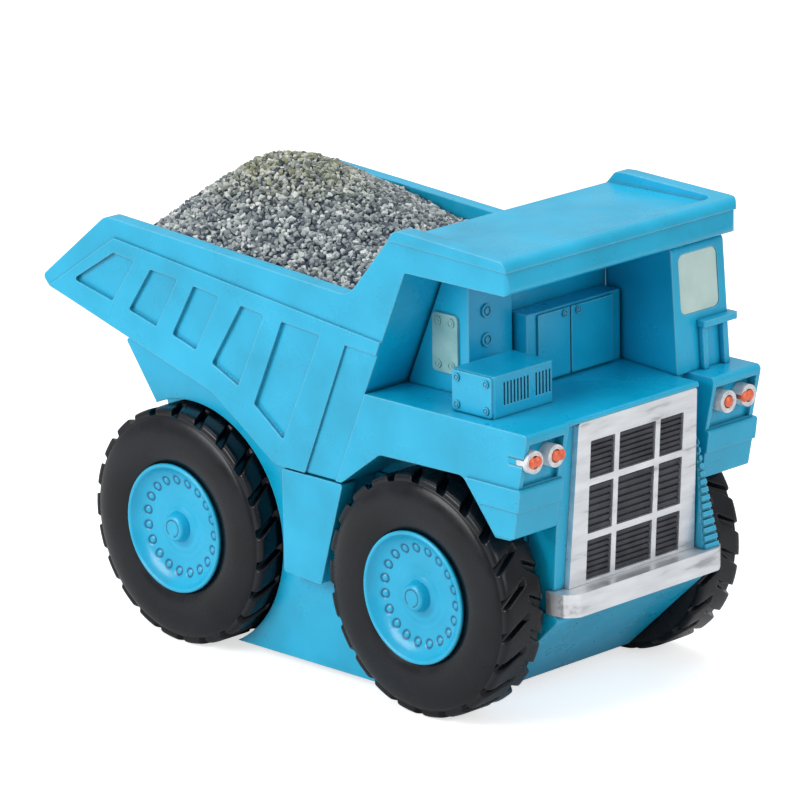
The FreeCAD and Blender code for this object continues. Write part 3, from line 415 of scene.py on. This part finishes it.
def tyre_section():
    """(radius, y) points round the tyre's section, and whether each may sink into a groove."""
    wall = [(20.3, 52.5), (21.4, 53.0), (22.8, 53.5), (24.4, 53.9), (26.4, 54.2), (28.4, 54.25),
            (30.4, 54.15), (32.2, 53.85), (33.6, 53.5), (34.6, 53.15), (35.2, 52.85), (35.6, 52.5),
            (35.8, 52.25)]
    lug = [(36.1, 52.3), (36.6, 52.35), (37.2, 52.25), (37.65, 51.95), (37.95, 51.45), (38.1, 50.9),
           (38.17, 50.2)]
    points = [(radius, y, 0) for radius, y in wall] + [(radius, y, 1) for radius, y in lug]
    y = 49.6
    while y > 38.8:
        points.append((AXLE_Z, y, 1))
        y -= 0.6
    points += [(radius, 2 * SECTION_MIDDLE - y, 1) for radius, y in reversed(lug)]
    points += [(35.7, 36.0, 0), (35.2, 35.6, 0), (34.0, 35.15, 0), (31.0, 34.75, 0), (28.4, 34.65, 0),
               (25.0, 35.0, 0), (22.4, 35.8, 0), (20.3, 36.5, 0), (20.3, 42.0, 0), (20.3, 48.0, 0)]
    return points


def tread_columns(y):
    """Places round one pitch, in mm of tread, bunched at the grooves' walls: (place, outer, inner) groove."""
    pitch = 2 * math.pi * AXLE_Z / TREAD_PITCHES
    outer_half = 1.15 + 0.45 * smooth(y, 46.0, 51.5)
    inner_half = 1.25 + 0.35 * smooth(-y, -41.0, -37.0)
    wall = [(-0.4, 0.02), (-0.17, 0.12), (0.0, 0.5), (0.17, 0.88), (0.4, 0.98), (0.8, 1.0)]
    columns = [(0.0, 0, 1)]
    columns += [(outer_half + d, level, 1) for d, level in wall]
    columns += [(pitch / 2 - inner_half - d, 1, level) for d, level in reversed(wall)]
    columns += [(pitch / 2, 1, 0)]
    columns += [(pitch / 2 + inner_half + d, 1, level) for d, level in wall]
    columns += [(pitch - outer_half - d, level, 1) for d, level in reversed(wall)]
    return columns


def tyre_mesh(name, centre_x, side):
    """Black tyre: smooth bulging walls, slanted grooves from each shoulder, meeting like a loose chevron."""
    rows = []
    for radius, y, may_sink in tyre_section():
        lean = -TREAD_SLANT * abs(min(max(y, 36.0), 52.4) - TREAD_MIDDLE)
        outer_reach = smooth(y, 43.3, 44.3)
        inner_reach = smooth(-y, -42.3, -41.3)
        row = []
        for pitch in range(TREAD_PITCHES):
            for place, outer, inner in tread_columns(y):
                block = min(1 - (1 - outer) * outer_reach, 1 - (1 - inner) * inner_reach)
                sunk = radius - may_sink * (1 - block) * max(0.0, radius - GROOVE_FLOOR)
                angle = 2 * math.pi * pitch / TREAD_PITCHES + (place + lean) / AXLE_Z
                row.append(around(centre_x, sunk, MM * side * y, angle))
        rows.append(row)
    mesh = grid_mesh(name, rows)
    face_outward(mesh)
    return mesh


def rim_front(radius):
    """Outward place of the rim's visible dish at a radius."""
    stations = [(4.0, 51.9), (5.2, 51.35), (6.6, 50.95), (8.2, 50.75), (10.5, 50.6), (13.0, 50.6),
                (15.0, 50.85), (16.6, 51.4), (17.9, 52.2), (18.8, 53.1), (19.4, 53.95), (19.75, 54.4),
                (20.1, 54.55), (20.5, 54.5), (20.8, 54.25), (20.9, 53.9)]
    for (r0, y0), (r1, y1) in zip(stations, stations[1:]):
        if radius <= r1:
            return y0 + (y1 - y0) * (radius - r0) / (r1 - r0)
    return stations[-1][1]


def pressed_ring(radius, angle):
    """How deep in a ring's groove a place on the rim is, and how far up the dome inside the ring."""
    step = 2 * math.pi / RING_COUNT
    off = (angle / step - round(angle / step)) * step
    away = math.hypot(RING_CIRCLE * math.sin(off), radius - RING_CIRCLE * math.cos(off))
    return math.exp(-((away - RING_RADIUS) / RING_LINE) ** 2), 1 - smooth(away, 0.5, 1.1)


def dish(radius):
    """The rim's front, averaged over its neighbourhood up to the bead, with ripples round the hub."""
    if radius < 19.0:
        y = sum(rim_front(radius + d) for d in (-0.6, -0.3, 0.0, 0.3, 0.6)) / 5
    else:
        y = rim_front(radius)
    fade = smooth(radius, 5.0, 6.0) * (1 - smooth(radius, 9.0, 12.0))
    return y + RIPPLE_HEIGHT * math.sin((radius - 5.0) * 2.6) * fade


def rim_mesh(name, centre_x, side):
    """Dished rim with soft ripples round the hub and a circle of small pressed rings, their grooves darkened
    with painted shade.
    """
    steps = RING_COUNT * 28
    angles = [2 * math.pi * (j + 0.5) / steps for j in range(steps)]
    radii = [4.0 + 0.3 * i for i in range(30)] + [13.0 + 0.16 * i for i in range(26)]
    radii += [17.2, 17.5, 17.8, 18.1, 18.4, 18.7, 19.0, 19.2, 19.4, 19.55, 19.7, 19.85, 20.0, 20.2, 20.4,
              20.6, 20.75, 20.85, 20.9]
    back = [(20.9, 53.4), (20.2, 52.6), (20.2, 38.6), (18.2, 38.6), (17.3, 46.5), (6.0, 46.5), (6.0, 40.0),
            (2.0, 40.0), (2.0, 51.2)]
    rows = []
    groove_shade = []
    for radius in radii:
        row = []
        for angle in angles:
            line, dome = pressed_ring(radius, angle)
            y = dish(radius) - RING_DEPTH * line + DOME_HEIGHT * dome
            row.append(around(centre_x, radius, MM * side * y, angle))
            # The groove's depth also sets painted shade along the ring lines.
            groove_shade.append(line)
        rows.append(row)
    for radius, y in back:
        rows.append([around(centre_x, radius, MM * side * y, angle) for angle in angles])
        groove_shade += [0.0] * steps
    mesh = grid_mesh(name, rows)
    face_outward(mesh)
    point_values(mesh, "groove_shade", groove_shade)
    return mesh


def hub_mesh(name, centre_x, side):
    """Tapered hub cap with a softened face and an unfinished ring drawn on it as a sunk line darkened with
    painted shade.
    """
    steps = 96
    section = [(0.0, 51.1), (2.0, 51.1), (4.4, 51.1), (5.0, 51.2), (4.95, 51.5), (4.7, 52.2), (4.45, 53.0),
               (4.25, 53.7), (4.1, 54.1), (3.85, 54.4), (3.5, 54.55)]
    section += [(3.5 - 0.12 * i, 54.6) for i in range(1, 20)] + [(0.9, 54.62), (0.5, 54.63), (0.0, 54.63)]
    rows = []
    groove_shade = []
    for radius, y in section:
        row = []
        for j in range(steps):
            angle = 2 * math.pi * j / steps
            gap = smooth(math.cos(angle - HUB_GAP_ANGLE), 0.88, 0.97)
            on_face = y > 54
            line = math.exp(-((radius - HUB_RING_RADIUS) / 0.22) ** 2) * (1 - gap) if on_face else 0.0
            row.append(around(centre_x, max(radius, 0.01), MM * side * (y - 0.2 * line), angle))
            # The sunk ring line also sets painted shade along it.
            groove_shade.append(line)
        rows.append(row)
    mesh = grid_mesh(name, rows, closed=False)
    face_outward(mesh, fill_holes=True)
    point_values(mesh, "groove_shade", groove_shade)
    mesh.shade_smooth()
    return mesh


def make_wheels():
    """Moulded tyres, rims and hub caps in place of the plain ones."""
    for end, centre_x in WHEEL_X.items():
        for side_name, side in (("left", 1), ("right", -1)):
            stem = end + "_" + side_name
            for kind, maker, material in (("tyre", tyre_mesh, "tyre"), ("rim", rim_mesh, "wheel_blue"),
                                          ("hub_cap", hub_mesh, "wheel_blue")):
                name = stem + "_" + kind + "_moulded"
                add_piece(name, maker(name, centre_x, side), stem + "_" + kind, materials[material])


# ---- Headlights ----------------------------------------------------------------------------
LAMP_RING_X = 101.4
LENS_RADIUS = 1.75
LENS_BACK_X = 103.7
LENS_FRONT_X = 106.7
LENS_BAND = 5.5


def lens_centres():
    """y of each band of the plain lenses' points; a lens that straddles two bands gives two centres."""
    bands = {}
    for vertex in NODES["headlight_lenses"].data.vertices:
        bands.setdefault(round(vertex.co.y / MM / LENS_BAND), []).append(vertex.co.y / MM)
    return [(min(ys) + max(ys)) / 2 for ys in bands.values()]


def make_lenses():
    """Low orange domes with a dark gap round them; lamps whose lens straddles two bands get two."""
    low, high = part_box("headlight_lenses")
    lamp_z = (low.z + high.z) / 2 / MM
    steps = 40
    rows = 9
    points = []
    faces = []
    for lamp_y in lens_centres():
        first = len(points)
        for i in range(rows):
            t = math.pi / 2 * max(0, i - 1) / (rows - 2)
            radius = LENS_RADIUS * math.cos(t)
            x = LENS_BACK_X if i == 0 else LENS_FRONT_X - 1.0 + math.sin(t)
            for j in range(steps):
                turn = 2 * math.pi * j / steps
                points.append((MM * x, MM * (lamp_y + radius * math.cos(turn)),
                               MM * (lamp_z + radius * math.sin(turn))))
        for i in range(rows - 1):
            for j in range(steps):
                k = (j + 1) % steps
                a = first + i * steps
                faces.append((a + j, a + k, a + steps + k, a + steps + j))
        faces.append([first + j for j in range(steps)])
    mesh = bpy.data.meshes.new("lenses")
    mesh.from_pydata(points, [], faces)
    face_outward(mesh, weld=0.01 * MM)
    mesh.shade_smooth()
    add_piece("headlight_domes", mesh, "headlight_lenses", materials["lens_orange"])


# ---- Gravel --------------------------------------------------------------------------------
# Each layer: least distance between stones and the range of their sizes in mm, and places tried.
STONE_LAYERS = [(2.0, (1.5, 2.5), 30000), (1.25, (0.8, 1.4), 26000)]
STONE_SHAPES = 24
CORE_DROP = 1.6
MOSS_RISE = (0.136, 0.151)


def stone_shape():
    """Points and triangles of one crushed stone, about one unit in radius, with flat broken faces."""
    work = bmesh.new()
    stretch = (random.uniform(0.75, 1.15), random.uniform(0.7, 1.0), random.uniform(0.55, 0.85))
    for _ in range(15):
        direction = Vector((random.gauss(0, 1), random.gauss(0, 1), random.gauss(0, 1))).normalized()
        length = random.uniform(0.82, 1.05)
        work.verts.new([c * s * length for c, s in zip(direction, stretch)])
    hull = bmesh.ops.convex_hull(work, input=work.verts)
    loose = [v for v in hull["geom_interior"] if isinstance(v, bmesh.types.BMVert)]
    bmesh.ops.delete(work, geom=loose, context="VERTS")
    work.verts.index_update()
    points = [v.co.copy() for v in work.verts]
    faces = [[v.index for v in face.verts] for face in work.faces]
    work.free()
    return points, faces


def surface_places(mesh, count, clear):
    """Scattered places on a mesh's upward faces, no two nearer than clear: (point, normal)."""
    mesh.calc_loop_triangles()
    triangles = [t for t in mesh.loop_triangles if t.normal.z > 0.05]
    areas = [t.area for t in triangles]
    taken = {}
    places = []
    for triangle in random.choices(triangles, areas, k=count):
        a, b, c = (mesh.vertices[i].co for i in triangle.vertices)
        u, v = random.random(), random.random()
        if u + v > 1:
            u, v = 1 - u, 1 - v
        point = a + (b - a) * u + (c - a) * v
        cell = tuple(int(math.floor(x / clear)) for x in point)
        near = [q for dx in (-1, 0, 1) for dy in (-1, 0, 1) for dz in (-1, 0, 1)
                for q in taken.get((cell[0] + dx, cell[1] + dy, cell[2] + dz), [])]
        if any((point - q).length < clear for q in near):
            continue
        taken.setdefault(cell, []).append(point)
        places.append((point, triangle.normal.copy()))
    return places


def any_turn():
    """Random rotation."""
    angle = random.uniform(0, 6.283)
    axis = Vector((random.gauss(0, 1), random.gauss(0, 1), random.gauss(0, 1))).normalized()
    return Matrix.Rotation(angle, 3, axis)


def make_stones(source, top_z):
    """Two layers of crushed stones sunk in the heap's upward faces: coarse ones, then finer ones."""
    shapes = [stone_shape() for _ in range(STONE_SHAPES)]
    points, faces, shade, moss = [], [], [], []
    for clear, sizes, count in STONE_LAYERS:
        for point, normal in surface_places(source, count, clear * MM):
            size = random.uniform(*sizes) * MM
            centre = point - normal * size * random.uniform(0.55, 1.05)
            centre.z = min(centre.z, top_z - size * 1.1)
            turn = any_turn()
            shape_points, shape_faces = random.choice(shapes)
            first = len(points)
            points += [centre + turn @ (p * size) for p in shape_points]
            faces += [[first + i for i in face] for face in shape_faces]
            tone = min(1.0, max(0.0, random.gauss(0.52, 0.27)))
            mossy = smooth(point.z, *MOSS_RISE) * random.uniform(0.0, 0.75)
            shade += [tone] * len(shape_points)
            moss += [mossy] * len(shape_points)
    mesh = bpy.data.meshes.new("stones")
    mesh.from_pydata(points, [], faces)
    face_outward(mesh)
    point_values(mesh, "stone", shade)
    point_values(mesh, "moss", moss)
    return mesh


def make_core(source, low_z):
    """The plain heap, lowered a little so that it shows only between the stones and at the tail."""
    core = source.copy()
    for vertex in core.vertices:
        if vertex.co.z > low_z + 2.0 * MM:
            vertex.co.z -= CORE_DROP * MM
    core.attributes.new("stone", "FLOAT", "POINT")
    core.attributes.new("moss", "FLOAT", "POINT")
    return core


def make_gravel():
    """Heap of separate crushed stones over a core; the core's upright rear face has no stones."""
    source = NODES["gravel_load"].data
    low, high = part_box("gravel_load")
    add_piece("gravel_stones", make_stones(source, high.z), "gravel_load", materials["gravel"])
    add_piece("gravel_core", make_core(source, low.z), "gravel_load", materials["gravel"])


make_camera()
make_studio()
blue = blue_paint("sky_blue", SKY_BLUE, 0.3)
materials = {
    "body_blue": blue, "wheel_blue": blue, "tyre": tyre_paint(), "steel": steel(),
    "silver_paint": silver_paint(), "grille_black": grille_black(), "lens_orange": lens_orange(),
    "window_green": window_green(), "plate_silver_green": plate_green(), "gravel": stone(),
}
for node, slot in SLOTS.items():
    NODES[node].data.materials.clear()
    NODES[node].data.materials.append(materials[slot])

NODES["headlight_bezels"].data.materials[0] = bezel_paint()

make_wheels()
make_lenses()
make_gravel()
